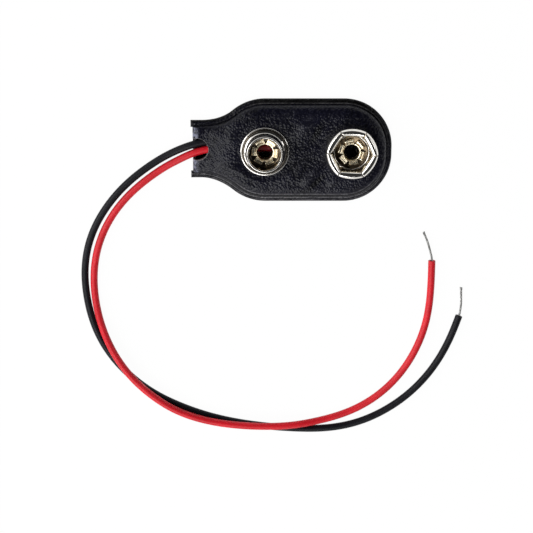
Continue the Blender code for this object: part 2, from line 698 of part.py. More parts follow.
def main():
    clear_scene()
    vinyl = material("black_vinyl", (0.018, 0.018, 0.022), 0.5)
    fibre = material("fibre_board", (0.10, 0.08, 0.06), 0.8)
    nickel = material("nickel_plate", (0.72, 0.69, 0.63), 0.15, 1.0)
    brass = material("brass", (0.80, 0.66, 0.38), 0.22, 1.0)
    red = material("red_insulation", (0.60, 0.012, 0.022), 0.35)
    black = material("black_insulation", (0.015, 0.015, 0.017), 0.4)
    tinned = material("tinned_copper", (0.60, 0.60, 0.57), 0.3, 1.0)
    solder = material("solder", (0.55, 0.55, 0.55), 0.3, 1.0)

    make_cover(vinyl)
    make_board(fibre)
    make_stud(nickel)
    make_socket(nickel)
    make_eyelet("stud_eyelet", brass, STUD_X, STUD_FLOOR, STUD_PETAL_ANGLE)
    make_eyelet("socket_eyelet", brass, SOCKET_X, SOCKET_SHEET, SOCKET_PETAL_ANGLE)
    make_lead("red", RED_ROUTE, RED_TIP_END, red, tinned)
    make_lead("black", BLACK_ROUTE, BLACK_TIP_END, black, tinned)
    make_joint("red", RED_ROUTE, SOCKET_X, RED_JOINT_ANGLE, tinned, solder)
    make_joint("black", BLACK_ROUTE, STUD_X, BLACK_JOINT_ANGLE, tinned, solder)


main()
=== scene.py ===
"""Looks of the battery snap connector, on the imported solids. Metres, +Z up."""

import math

import bmesh
import bpy
import numpy as np
from mathutils import Matrix, Vector


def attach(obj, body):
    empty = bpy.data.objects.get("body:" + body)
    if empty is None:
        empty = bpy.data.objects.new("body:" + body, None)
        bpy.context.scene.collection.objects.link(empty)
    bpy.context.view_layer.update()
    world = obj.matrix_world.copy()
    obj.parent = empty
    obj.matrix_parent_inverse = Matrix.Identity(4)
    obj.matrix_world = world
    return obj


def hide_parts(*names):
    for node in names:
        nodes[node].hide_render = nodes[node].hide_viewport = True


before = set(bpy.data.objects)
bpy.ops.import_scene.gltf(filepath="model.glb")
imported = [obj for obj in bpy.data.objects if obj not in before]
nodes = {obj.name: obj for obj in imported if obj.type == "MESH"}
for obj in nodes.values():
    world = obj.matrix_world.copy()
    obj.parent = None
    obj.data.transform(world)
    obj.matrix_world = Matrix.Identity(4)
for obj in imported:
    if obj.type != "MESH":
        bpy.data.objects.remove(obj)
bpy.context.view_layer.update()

# ---------------- sizes
MM = 0.001
TERMINAL_PITCH = 12.7 * MM
STUD_X, SOCKET_X = -TERMINAL_PITCH / 2, TERMINAL_PITCH / 2
SEAT = 0.02 * MM

COVER_WIDTH = 15.4 * MM
COVER_OFFSET = 0.2 * MM
NECK_WIDTH = 8.6 * MM
END_FLAT = 1.2 * MM
END_REACH = 6.05 * MM  # from the socket's axis to the end of the rim
FOLD_REACH = 10.65 * MM  # from the stud's axis to the fold
NECK_LENGTH = 1.2 * MM
END_X = SOCKET_X + END_REACH
FOLD_X = STUD_X - FOLD_REACH
NECK_X = FOLD_X + NECK_LENGTH
SHOULDER_LENGTH = 9.5 * MM
SHOULDER_X = NECK_X + SHOULDER_LENGTH
EAR_OVERHANG = 0.3 * MM
EAR_WIDTH = 1.0 * MM

LEAF = 0.4 * MM
RIM_WIDTH = 0.85 * MM
RIM_LIFT = 0.35 * MM
WELD_TOP = 1.5 * MM
FRONT_RISE = 1.6 * MM
BACK_RISE = 1.0 * MM
BACK_LIFT = 0.16 * MM  # of the back leaf's edge above the rim's underside
FULLNESS = 0.40  # the slope's power: the lower, the fuller the leaf
NECK_TOP = 2.0 * MM
FRONT_TOP = 2.68 * MM
TERMINAL_BASE = FRONT_TOP + SEAT
EYELET_BASE = 1.58 * MM
CLIMB_START, CLIMB_END = NECK_X, STUD_X - 4.6 * MM  # where the front leaf climbs onto the board
NOTCH_RADIUS = 1.65 * MM
NOTCH_X = FOLD_X + 0.7 * MM
NOTCH_Y = 0.15 * MM
NECK_STEPS = 8  # stations along the neck, then its curves, sides, end and fold, and across the leaf
ARC_STEPS = 26
SIDE_STEPS = 40
END_STEPS = 48
FOLD_STEPS = 14
ACROSS_STEPS = 44

BEAD = 2.85 * MM  # the stud's widest radius, over its neck
BEAD_DEPTH = 0.17 * MM
BEAD_DROP = 0.65 * MM  # the bead's middle below the rim
RIM_INSET = 0.3 * MM  # from the bead to the crest of the rim
STUD_WALL = 0.35 * MM
STUD_FILLET = 0.45 * MM  # from the neck out to the flange's trough
FLANGE_WIDTH = 0.45 * MM  # from the trough to the flange's edge
NECK = BEAD - BEAD_DEPTH
OPENING = NECK - STUD_WALL
TROUGH = NECK + STUD_FILLET
STUD_HEIGHT = 2.4 * MM
STUD_FLOOR = 0.24 * MM
HOLE = 1.29 * MM  # the radius of the rivets' holes

PETALS = 6  # of the socket and of each eyelet
SOCKET_HEIGHT = 2.3 * MM
SHEET = 0.25 * MM
LIP = BEAD - 0.29 * MM  # the radius between the lips, which grip a bead like the stud's
LIP_WIDTH = 0.72 * MM  # from the lips out to the crest
CREST_WIDTH = 0.49 * MM  # from the crest out to the widest place
FLARE = 0.42 * MM  # from the base's edge out to the widest place
BARREL_DROP = 0.85 * MM  # the widest place below the crest
LIP_DROP = 0.65 * MM  # the lips' ends below the crest
SLIT_WIDTH = 0.16 * MM
SLIT_ANGLE = -3  # degrees

EYELET_WALL = 0.16 * MM
EYELET_BORE = 1.09 * MM
EYELET_FLANGE = 2.1 * MM
PETAL_CLEARANCE = 0.2 * MM  # from the petals' corners to the stud's inner wall
PETAL_RISE = 0.42 * MM  # of the rolled petals over the terminal's floor
STUD_PETAL_ANGLE = 55  # degrees
SOCKET_PETAL_ANGLE = 42

LEAD_DIAMETER = 1.1 * MM
LEAD_SIDES = 24
ROUTE_STEP = 0.4 * MM
STRANDS = 7
STRAND_RADIUS = 0.055 * MM
LAY_RADIUS = 0.107 * MM  # of the six strands round the middle one
LAY_LENGTH = 1.9 * MM  # of one turn

# ---------------- the leads' routes, as in the solids
RED_ROUTE = [
    (0.00340, 0.00026, 0.00099), (-0.00150, 0.00028, 0.00099), (-0.00635, 0.00024, 0.00099),
    (-0.01100, 0.00016, 0.00099), (-0.01490, -0.00004, 0.00100), (-0.01690, -0.00056, 0.00100),
    (-0.01880, -0.00145, 0.00082), (-0.02080, -0.00254, 0.00062), (-0.02315, -0.00409, 0.00057),
    (-0.02690, -0.00731, 0.00057), (-0.02992, -0.01136, 0.00057), (-0.03184, -0.01632, 0.00057),
    (-0.03230, -0.02180, 0.00062), (-0.03155, -0.02670, 0.00098), (-0.02990, -0.03110, 0.00148),
    (-0.02740, -0.03510, 0.00170), (-0.02410, -0.03850, 0.00172), (-0.02022, -0.04115, 0.00170),
    (-0.01580, -0.04280, 0.00170), (-0.01130, -0.04360, 0.00172), (-0.00680, -0.04388, 0.00170),
    (-0.00230, -0.04378, 0.00147), (0.00225, -0.04320, 0.00080), (0.00665, -0.04185, 0.00057),
    (0.01084, -0.03937, 0.00057), (0.01434, -0.03584, 0.00057), (0.01690, -0.03150, 0.00057),
    (0.01838, -0.02690, 0.00057), (0.01890, -0.02220, 0.00057), (0.01895, -0.01726, 0.00057),
]
BLACK_ROUTE = [
    (-0.00895, 0.00146, 0.00099), (-0.01200, 0.00140, 0.00099), (-0.01530, 0.00112, 0.00100),
    (-0.01700, 0.00070, 0.00100), (-0.01890, -0.00002, 0.00082), (-0.02090, -0.00100, 0.00062),
    (-0.02365, -0.00271, 0.00057), (-0.02712, -0.00552, 0.00057), (-0.03035, -0.00934, 0.00057),
    (-0.03265, -0.01382, 0.00057), (-0.03362, -0.01850, 0.00057), (-0.03345, -0.02320, 0.00057),
    (-0.03240, -0.02780, 0.00057), (-0.03040, -0.03195, 0.00057), (-0.02745, -0.03560, 0.00057),
    (-0.02380, -0.03860, 0.00057), (-0.01970, -0.04080, 0.00057), (-0.01550, -0.04240, 0.00057),
    (-0.01120, -0.04350, 0.00057), (-0.00680, -0.04420, 0.00057), (-0.00220, -0.04460, 0.00057),
    (0.00270, -0.04462, 0.00057), (0.00774, -0.04370, 0.00057), (0.01246, -0.04151, 0.00057),
    (0.01677, -0.03808, 0.00057), (0.02018, -0.03366, 0.00057), (0.02242, -0.02894, 0.00057),
    (0.02339, -0.02608, 0.00057),
]
RED_TIP_END = (0.01755, -0.01275, 0.00030)
BLACK_TIP_END = (0.02360, -0.02155, 0.00030)


# ---------------- materials
class Nodes:
    """Short calls for building the node tree of a material or world."""

    def __init__(self, owner, empty=False):
        owner.use_nodes = True
        self.owner = owner
        self.tree = owner.node_tree
        if empty:
            self.tree.nodes.clear()

    def feed(self, socket, value):
        """Links an input to an output, or gives it a number, a vector or a colour."""
        if isinstance(value, bpy.types.NodeSocket):
            self.tree.links.new(value, socket)
        else:
            socket.default_value = (*value, 1) if socket.type == "RGBA" else value

    def add(self, kind, inputs=None, **settings):
        node = self.tree.nodes.new(kind)
        for key, value in settings.items():
            setattr(node, key, value)
        for key, value in (inputs or {}).items():
            self.feed(node.inputs[key], value)
        return node

    def place(self):
        return self.add("ShaderNodeTexCoord").outputs["Object"]

    def noise(self, vector, scale, detail=2.0, rough=0.5):
        inputs = {"Vector": vector, "Scale": scale, "Detail": detail, "Roughness": rough}
        return self.add("ShaderNodeTexNoise", inputs).outputs["Fac"]

    def math(self, operation, a, b=0.0, c=None, clamp=False):
        inputs = {0: a, 1: b} if c is None else {0: a, 1: b, 2: c}
        return self.add("ShaderNodeMath", inputs, operation=operation, use_clamp=clamp).outputs[0]

    def times(self, a, b, plus=None):
        """a times b, with a third value added if there is one."""
        return self.math("MULTIPLY", a, b) if plus is None else self.math("MULTIPLY_ADD", a, b, plus)

    def larger(self, a, b):
        return self.math("MAXIMUM", a, b)

    def split(self, vector):
        """The X and Y of a vector."""
        return self.add("ShaderNodeSeparateXYZ", {0: vector}).outputs[:2]

    def range(self, value, a, b, c=0.0, d=1.0, smooth=False):
        """Takes a to c and b to d, and what lies between them in proportion."""
        inputs = {"Value": value, "From Min": a, "From Max": b, "To Min": c, "To Max": d}
        kind = "SMOOTHSTEP" if smooth else "LINEAR"
        return self.add("ShaderNodeMapRange", inputs, interpolation_type=kind).outputs["Result"]

    def mix(self, factor, a, b, blend="MIX"):
        inputs = {0: factor, 6: a, 7: b}
        return self.add("ShaderNodeMix", inputs, data_type="RGBA", blend_type=blend).outputs[2]

    def band(self, value, middle, half):
        """1 where the value is at the middle, falling to 0 at half the band's width on either side."""
        away = self.math("ABSOLUTE", self.math("DIVIDE", self.math("SUBTRACT", value, middle), half))
        return self.math("SUBTRACT", 1.0, away, clamp=True)

    def attribute(self, name):
        return self.add("ShaderNodeAttribute", attribute_name=name).outputs["Fac"]

    def bump(self, height, distance, normal=None):
        inputs = {"Height": height, "Distance": distance, "Strength": 1.0}
        if normal is not None:
            inputs["Normal"] = normal
        return self.add("ShaderNodeBump", inputs).outputs["Normal"]

    def set(self, **inputs):
        """Gives a material's shader its inputs, named with underscores, and hands the material back."""
        for key, value in inputs.items():
            self.feed(self.tree.nodes["Principled BSDF"].inputs[key.replace("_", " ")], value)
        return self.owner


def vinyl_material():
    """Black vinyl with a fine pebbled grain, paler along the weld and round the cut notch."""
    n = Nodes(bpy.data.materials.new("vinyl_looks"))
    place = n.place()
    x, y = n.split(place)

    # the grain: warped cells, finer and broader unevenness
    drift = n.add("ShaderNodeTexNoise", {"Vector": place, "Scale": 1500.0, "Detail": 1.0}).outputs["Color"]
    warp = n.add("ShaderNodeVectorMath", {0: drift, "Scale": 0.00022}, operation="SCALE").outputs[0]
    moved = n.add("ShaderNodeVectorMath", {0: place, 1: warp}, operation="ADD").outputs[0]
    cells = n.add(
        "ShaderNodeTexVoronoi", {"Vector": moved, "Scale": 3100.0, "Smoothness": 0.4}, feature="SMOOTH_F1"
    ).outputs["Distance"]
    pebble = n.range(cells, 0.75, 0.05)
    height = n.times(n.noise(place, 900.0, 2.0, 0.6), 0.5, pebble)
    height = n.times(n.noise(place, 5200.0, 2.0), 0.40, height)
    soft = n.times(n.noise(place, 420.0, 1.0), 3.4, height)
    broad = n.noise(place, 230.0, 3.0, 0.55)

    # where the point is: millimetres in from the rim, and shares of the cover's regions
    rim = n.attribute("rim_inset")
    far_neck = n.times(n.range(x, -7.5 * MM, -9.5 * MM), n.range(y, 0.0, 2.0 * MM))
    plain = n.larger(far_neck, n.range(x, 9.5 * MM, 12.0 * MM))
    # the lower side's share: the painted highlights are stronger there and the painted rim shade is weaker
    lit_side = n.range(y, 5.0 * MM, -6.0 * MM, 0.55, 1.0)
    lower = n.range(y, -2.0 * MM, -6.0 * MM)
    fold = n.range(x, FOLD_X + 1.1 * MM, FOLD_X + 0.3 * MM, smooth=True)

    # painted highlights along the weld's lines, broken like threads, and a painted sheen on the rim's edge,
    # both stronger on the lower side
    crest = n.range(y, 5.0 * MM, -6.0 * MM, 0.62, 0.58)
    second = n.times(n.band(rim, 1.40, 0.13), n.times(lower, 0.75))
    thread = n.range(n.noise(place, 2400.0, 1.0), 0.36, 0.64)
    ridge_highlight = n.times(n.larger(n.band(rim, crest, 0.12), second), n.range(thread, 0.0, 1.0, 0.35, 1.0))
    rim_sheen = n.times(n.band(rim, 0.26, 0.20), n.range(n.noise(place, 600.0, 2.0), 0.38, 0.60))
    line = n.times(rim_sheen, n.range(lower, 0.0, 1.0, 0.10, 0.38), ridge_highlight)
    line = n.times(n.times(line, lit_side), n.range(plain, 0.0, 1.0, 1.0, 0.15))
    # painted shade in the groove at the weld's foot, on the lower side
    groove_shade = n.times(n.band(rim, 1.12, 0.20), lower)

    # the grain's tone, with painted shade in its pits and painted sheen on its tops, random lighter patches
    # and the soft creases
    pit_shade, top, patch = (0.0004, 0.0004, 0.0022), (0.007, 0.007, 0.016), (0.009, 0.009, 0.020)
    crease_highlight, crease_shade = (0.034, 0.034, 0.042), (0.0004, 0.0004, 0.001)
    tops = n.mix(n.range(height, 0.65, 1.75), pit_shade, top)
    tops = n.mix(n.range(broad, 0.35, 0.7, 0.0, 0.35), tops, patch)
    # painted highlight along the raised creases and painted shade in the sunk ones
    creases = n.attribute("creases")
    raised = n.range(creases, 0.1, 0.9, 0.0, 0.8, smooth=True)
    tops = n.mix(n.times(raised, n.range(height, 0.75, 1.6, 0.1, 1.0)), tops, crease_highlight)
    tops = n.mix(n.range(creases, -0.1, -0.9, 0.0, 0.9, smooth=True), tops, crease_shade)

    # painted shade on the rim and in the groove, then the painted highlights of the lines and of the fold, and
    # the pale cut edge over them
    dark, line_highlight = (0.0003, 0.0003, 0.0003), (0.20, 0.195, 0.205)
    fold_highlight, cut_edge = (0.20, 0.21, 0.28), (0.22, 0.21, 0.21)
    # painted shade on the rim, strongest on the upper side, and a painted dark line at the edge where the
    # lines fade
    rim_shade = n.times(n.range(rim, 0.80, 0.62), n.range(lit_side, 0.55, 1.0, 0.95, 0.3))
    rim_shade = n.times(rim_shade, n.range(plain, 0.0, 1.0, 1.0, 0.2))
    rim_shade = n.larger(rim_shade, n.times(n.range(rim, 0.30, 0.15), plain))
    colour = n.mix(n.larger(groove_shade, rim_shade), tops, dark)
    # the painted highlights of the weld's lines and of the rim's edge
    colour = n.mix(n.times(line, 0.75), colour, line_highlight)
    # painted highlight on the fold's rounded edge, broken up by noise
    sheen = n.times(fold, n.range(n.noise(place, 1500.0, 2.0), 0.38, 0.62))
    colour = n.mix(n.times(sheen, n.range(rim, 0.9, 1.1)), colour, fold_highlight)
    edge = n.range(n.attribute("notch_gap"), 0.0, 0.07, 1.0, 0.0)
    colour = n.mix(n.times(edge, 0.8), colour, cut_edge)

    rough = n.times(fold, -0.10, n.range(broad, 0.3, 0.75, 0.32, 0.26))
    rough = n.times(groove_shade, 0.5, rough)
    rough = n.times(n.range(rim, 0.0, 0.10, 1.0, 0.0), 0.4, rough)
    normal = n.bump(n.times(soft, n.range(rim, 0.62, 0.80, 0.8, 1.0)), 0.000056)
    return n.set(Base_Color=colour, Roughness=rough, Specular_IOR_Level=0.19, Normal=normal)


def metal_material(name, light, dark, roughness, dents, rings=0.0):
    """Bright metal with haze and small dents, with dull plating and painted shade where marked, and with
    drawing marks if rings are given.
    """
    n = Nodes(bpy.data.materials.new(name))
    place = n.place()
    haze = n.noise(place, 2200.0, 3.0, 0.6)
    wave = n.noise(place, 700.0, 2.0)
    inner = n.attribute("inner")
    # dark brown inside the cups and in the stud's trough: dull plating and painted shade
    dull_and_shade = n.mix(n.range(wave, 0.40, 0.62), (0.06, 0.042, 0.026), (0.26, 0.20, 0.13))
    colour = n.mix(inner, n.mix(n.range(haze, 0.35, 0.75), light, dark), dull_and_shade)
    rough = n.range(haze, 0.3, 0.8, roughness * 0.75, roughness * 1.5)
    rough = n.times(inner, 0.2, rough)
    normal = n.bump(wave, dents)
    if rings:
        flat = n.add("ShaderNodeVectorMath", {0: place, 1: (1.0, 1.0, 0.0)}, operation="MULTIPLY")
        radius = n.add("ShaderNodeVectorMath", {0: flat.outputs[0]}, operation="LENGTH").outputs["Value"]
        inputs = {"W": radius, "Scale": 3600.0, "Detail": 1.0}
        marks = n.add("ShaderNodeTexNoise", inputs, noise_dimensions="1D").outputs["Fac"]
        colour = n.mix(n.range(marks, 0.48, 0.58, 0.0, 0.85), colour, (0.07, 0.065, 0.06))
        normal = n.bump(marks, rings, normal)
    return n.set(Base_Color=colour, Metallic=1.0, Roughness=rough, Normal=normal)


def insulation_material(name, light, dark, roughness, gloss):
    """Extruded insulation: smooth, with faint unevenness along it, and painted shade inside the cover."""
    n = Nodes(bpy.data.materials.new(name))
    place = n.place()
    x, y = n.split(place)
    cloud = n.noise(place, 350.0, 3.0)
    grain = n.noise(place, 5200.0, 2.0)
    colour = n.mix(n.range(cloud, 0.35, 0.7), light, dark)
    # painted shade on the stretch that lies inside the cover
    inside_shade = n.math("MINIMUM", n.range(x, -13.0 * MM, -10.0 * MM), n.range(y, -4.0 * MM, -3.0 * MM))
    colour = n.mix(n.times(inside_shade, 0.75), colour, (0.02, 0.001, 0.006))
    rough = n.range(grain, 0.3, 0.7, roughness * 0.85, roughness * 1.2)
    normal = n.bump(grain, 0.000006)
    return n.set(Base_Color=colour, Roughness=rough, Specular_IOR_Level=gloss, Normal=normal)


def board_material():
    n = Nodes(bpy.data.materials.new("board_looks"))
    place = n.place()
    fibre = n.noise(place, 2600.0, 4.0, 0.7)
    colour = n.mix(fibre, (0.06, 0.045, 0.035), (0.12, 0.10, 0.075))
    return n.set(Base_Color=colour, Roughness=0.85, Normal=n.bump(fibre, 0.00002))


VINYL = vinyl_material()
PLATE = (0.86, 0.84, 0.80), (0.74, 0.71, 0.66)
NICKEL = metal_material("nickel_looks", *PLATE, 0.13, 0.000004)
RINGED = metal_material("drawn_nickel_looks", *PLATE, 0.10, 0.000004, 0.000016)
BRASS = metal_material("brass_looks", (0.97, 0.90, 0.70), (0.66, 0.50, 0.29), 0.27, 0.000022)
TINNED = metal_material("tinned_looks", (0.34, 0.34, 0.33), (0.17, 0.17, 0.165), 0.38, 0.000006)
SOLDER = metal_material("solder_looks", (0.62, 0.62, 0.62), (0.42, 0.42, 0.42), 0.28, 0.000012)
RED = insulation_material("red_looks", (0.57, 0.008, 0.018), (0.46, 0.005, 0.012), 0.42, 0.28)
BLACK = insulation_material("black_looks", (0.006, 0.006, 0.009), (0.003, 0.003, 0.005), 0.42, 0.15)
BOARD = board_material()


# ---------------- mesh helpers
def linked(name, data):
    """A new object of the scene."""
    obj = bpy.data.objects.new(name, data)
    bpy.context.scene.collection.objects.link(obj)
    return obj


def new_object(name, bm, mat=None):
    bmesh.ops.recalc_face_normals(bm, faces=bm.faces)
    mesh = bpy.data.meshes.new(name)
    bm.to_mesh(mesh)
    bm.free()
    if mat is not None:
        mesh.materials.append(mat)
    return linked(name, mesh)


def cut(obj, cutters, joined=()):
    """Joins pieces to an object, takes cutters out of it and leaves a plain mesh."""
    tools = [*joined, *cutters]
    for tool in tools:
        step = obj.modifiers.new(tool.name, "BOOLEAN")
        step.object = tool
        step.operation = "UNION" if tool in joined else "DIFFERENCE"
        step.solver = "EXACT"
    settle(obj)
    for tool in tools:
        bpy.data.objects.remove(tool, do_unlink=True)


def settle(obj):
    """Replaces the object's mesh by what its modifiers make of it."""
    bpy.context.view_layer.update()
    evaluated = obj.evaluated_get(bpy.context.evaluated_depsgraph_get())
    mesh = bpy.data.meshes.new_from_object(evaluated)
    obj.modifiers.clear()
    obj.data = mesh


def smooth(obj, degrees):
    """Smooth shading, but for edges sharper than an angle."""
    obj.data.shade_smooth()
    obj.data.set_sharp_from_angle(angle=math.radians(degrees))


def bevel(obj, width):
    """Rounds the edges that are sharper than 50 degrees."""
    step = obj.modifiers.new("edges", "BEVEL")
    step.width = width
    step.segments = 2
    step.limit_method = "ANGLE"
    step.angle_limit = math.radians(50)
    settle(obj)


def places(obj):
    """The places of an object's vertices, one to a row."""
    flat = np.zeros(len(obj.data.vertices) * 3)
    obj.data.vertices.foreach_get("co", flat)
    return flat.reshape(-1, 3)


def mark(obj, name, values):
    """Stores one value per vertex, for a material to read."""
    attribute = obj.data.attributes.new(name, "FLOAT", "POINT")
    attribute.data.foreach_set("value", np.asarray(values, np.float32))


def finish_piece(obj, slot, *replaced):
    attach(obj, "root")
    if replaced:
        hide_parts(*replaced)
    return obj


def spin(bm, angle, verts=None):
    """Turns a mesh, or some of its vertices, round the Z axis."""
    bmesh.ops.rotate(bm, matrix=Matrix.Rotation(angle, 3, "Z"), verts=verts or bm.verts)


def ease(value):
    """Runs from 0 to 1 with level ends, and stays there."""
    t = min(1.0, max(0.0, value))
    return t * t * (3 - 2 * t)


def bridge(bm, rings):
    """Faces from each closed ring of vertices to the next."""
    count = len(rings[0])
    for here, there in zip(rings[:-1], rings[1:]):
        for i in range(count):
            n = (i + 1) % count
            bm.faces.new((here[i], here[n], there[n], there[i]))


def circle(radius, sides):
    angles = [2 * math.pi * k / sides for k in range(sides)]
    return [(radius * math.cos(a), radius * math.sin(a)) for a in angles]


def prism(outline, low, high, place=(0.0, 0.0)):
    """An upright prism on an outline."""
    bm = bmesh.new()
    rings = [[bm.verts.new((x + place[0], y + place[1], z)) for x, y in outline] for z in (low, high)]
    bm.faces.new(rings[0][::-1])
    bm.faces.new(rings[1])
    bridge(bm, rings)
    return bm


def arc(centre, radii, start, end, steps):
    """Points on part of an ellipse, from one angle in degrees to another."""
    points = []
    for k in range(steps + 1):
        a = math.radians(start + (end - start) * k / steps)
        points.append((centre[0] + radii[0] * math.cos(a), centre[1] + radii[1] * math.sin(a)))
    return points


def turned(section, sides, shape=None):
    """A closed section turned round the Z axis, with its radius given by a shape if there is one."""
    bm = bmesh.new()
    rings = []
    for k in range(sides):
        angle = 2 * math.pi * k / sides
        ring = []
        for point in section:
            radius = shape(point, angle) if shape else point[0]
            ring.append(bm.verts.new((radius * math.cos(angle), radius * math.sin(angle), point[1])))
        rings.append(ring)
    count = len(section)
    for k, ring in enumerate(rings):
        following = rings[(k + 1) % sides]
        for j in range(count):
            n = (j + 1) % count
            bm.faces.new((ring[j], following[j], following[n], ring[n]))
    return bm


def sided(count):
    """A shape for turned: a point's third value takes it from round, 0, to flat-sided, 1."""
    side = 2 * math.pi / count

    def radius(point, angle):
        return point[0] * (1 - point[2] + point[2] / math.cos(angle % side - side / 2))

    return radius


def blend(a, b, t, t_a, t_b):
    """The point for t on the line that is at a for t_a and at b for t_b."""
    return (t_b - t) / (t_b - t_a) * a + (t - t_a) / (t_b - t_a) * b


def curve_through(points, per_span):
    """A smooth curve through points of any size, by Catmull-Rom with chord lengths."""
    p = np.array(points, float)
    out = []
    for i in range(len(p) - 1):
        b, c = p[i], p[i + 1]
        a = p[i - 1] if i else 2 * b - c
        d = p[i + 2] if i + 2 < len(p) else 2 * c - b
        t0, t1 = 0.0, max(np.linalg.norm(b - a), 1e-9) ** 0.5
        t2 = t1 + max(np.linalg.norm(c - b), 1e-9) ** 0.5
        t3 = t2 + max(np.linalg.norm(d - c), 1e-9) ** 0.5
        for k in range(per_span):
            t = t1 + (t2 - t1) * k / per_span
            middle = blend(b, c, t, t1, t2)
            before = blend(blend(a, b, t, t0, t1), middle, t, t0, t2)
            after = blend(middle, blend(c, d, t, t2, t3), t, t1, t3)
            out.append(blend(before, after, t, t1, t2))
    out.append(p[-1])
    return [tuple(q) for q in out]


# ---------------- cover
def half_outline(inset):
    """The +Y half of the outline, set in by a distance, with even stations along the straight part."""
    neck, body = NECK_WIDTH / 2, COVER_WIDTH / 2
    widening = body - neck
    radius = (SHOULDER_LENGTH**2 + widening**2) / (4 * widening)
    turn = 2 * math.atan2(widening, SHOULDER_LENGTH)
    end_radius = body - END_FLAT / 2
    end_x, end_y = END_X - end_radius, END_FLAT / 2
    points = [(FOLD_X + (NECK_X - FOLD_X) * k / NECK_STEPS, neck - inset) for k in range(NECK_STEPS)]
    outer, inner = radius + inset, radius - inset
    for k in range(ARC_STEPS + 1):
        a = turn * k / ARC_STEPS
        points.append((NECK_X + outer * math.sin(a), neck + radius - outer * math.cos(a)))
    for k in range(ARC_STEPS - 1, -1, -1):
        a = turn * k / ARC_STEPS
        points.append((SHOULDER_X - inner * math.sin(a), body - radius + inner * math.cos(a)))
    for k in range(1, SIDE_STEPS):
        points.append((SHOULDER_X + (end_x - SHOULDER_X) * k / SIDE_STEPS, body - inset))
    corner = end_radius - inset
    for k in range(END_STEPS + 1):
        a = math.pi / 2 * (1 - k / END_STEPS)
        points.append((end_x + corner * math.cos(a), end_y + corner * math.sin(a)))
    return points


def side_step(x):
    """How far the strip's middle line lies from the terminals' line."""
    return -COVER_OFFSET * ease(2 * (x - NECK_X) / SHOULDER_LENGTH)


def off_centre(bm):
    for v in bm.verts:
        v.co.y += side_step(v.co.x)
    return bm


def front_height(x):
    return NECK_TOP + (FRONT_TOP - NECK_TOP) * ease((x - CLIMB_START) / (CLIMB_END - CLIMB_START))


# Soft creases of the front leaf: from (x, y) to (x, y) in mm, relative height, half-width in mm
CREASES = [
    ((-1.4, -5.6), (1.6, -2.2), 0.05, 0.55),
    ((-0.2, -6.0), (2.6, -3.4), -0.05, 0.50),
    ((1.5, -6.1), (4.0, -4.2), 0.045, 0.55),
    ((-2.6, -3.4), (0.4, -0.6), 0.035, 0.60),
    ((-1.8, 2.6), (0.8, 5.2), 0.05, 0.70),
    ((0.4, 1.2), (2.2, 4.4), -0.045, 0.65),
    ((-4.6, 4.9), (-1.2, 6.0), 0.03, 0.60),
    ((10.4, 0.6), (11.4, 0.9), 0.03, 0.28),
    ((10.4, -0.6), (11.4, -0.8), 0.03, 0.28),
    ((10.2, -1.8), (11.1, -2.4), 0.03, 0.28),
    ((10.2, 1.9), (11.2, 2.4), 0.03, 0.28),
    ((-11.6, -2.4), (-9.4, -3.6), 0.03, 0.55),
    ((-12.4, 1.9), (-10.2, 3.2), 0.03, 0.55),
]
CREASE_LIFT = 4.2  # millimetres of a crease, per relative height
CREASE_SHADE = 20.0  # what the material reads of it, per relative height
SWELL, SWELL_WAVE = 0.075, 0.030  # mm
SWELL_EDGE = 5  # rows of the leaf's grid over which the swell begins
SWELL_END = 4  # columns over which it ends

# The slope's pinched foot, from the rim's inner edge and from the weld's top, in mm
FOOT = ((0.0, -0.10), (0.012, -0.035), (0.045, 0.005))
BACK_SHARES = (1, 0.8, 0.6, 0.4, 0.2, 0)
INSIDE_SHARES = (0, 0.1, 0.25, 0.5, 0.75, 1)
OUTSIDE_SHARES = (0.02, 0.05, 0.09, 0.15, 0.23, 0.33, 0.45, 0.58, 0.72, 0.86, 1)


def crease(x, y):
    """The relative height of the creases at a place in millimetres."""
    total = 0.0
    for (x0, y0), (x1, y1), height, width in CREASES:
        dx, dy = x1 - x0, y1 - y0
        t = min(1.0, max(0.0, ((x - x0) * dx + (y - y0) * dy) / (dx * dx + dy * dy)))
        gap = math.hypot(x - x0 - t * dx, y - y0 - t * dy)
        total += height * math.exp(-((gap / width) ** 2)) * math.sin(math.pi * (0.15 + 0.7 * t))
    return total


def swell(x, y):
    """How far the soft leaf stands over the board: a little everywhere but under the two flanges."""
    rise = 1.0
    for centre, radius in ((STUD_X, 3.6 * MM), (SOCKET_X, 3.5 * MM)):
        rise *= ease((math.hypot(x - centre, y) - radius) / (1.0 * MM))
    u, v = x / MM, y / MM
    wave = math.sin(u * 0.9 + 0.6) * math.sin(v * 0.7 - 0.4) + 0.6 * math.sin((u + v) * 0.55)
    return rise * max(0.0, SWELL + SWELL_WAVE * wave + CREASE_LIFT * crease(u, v)) * MM


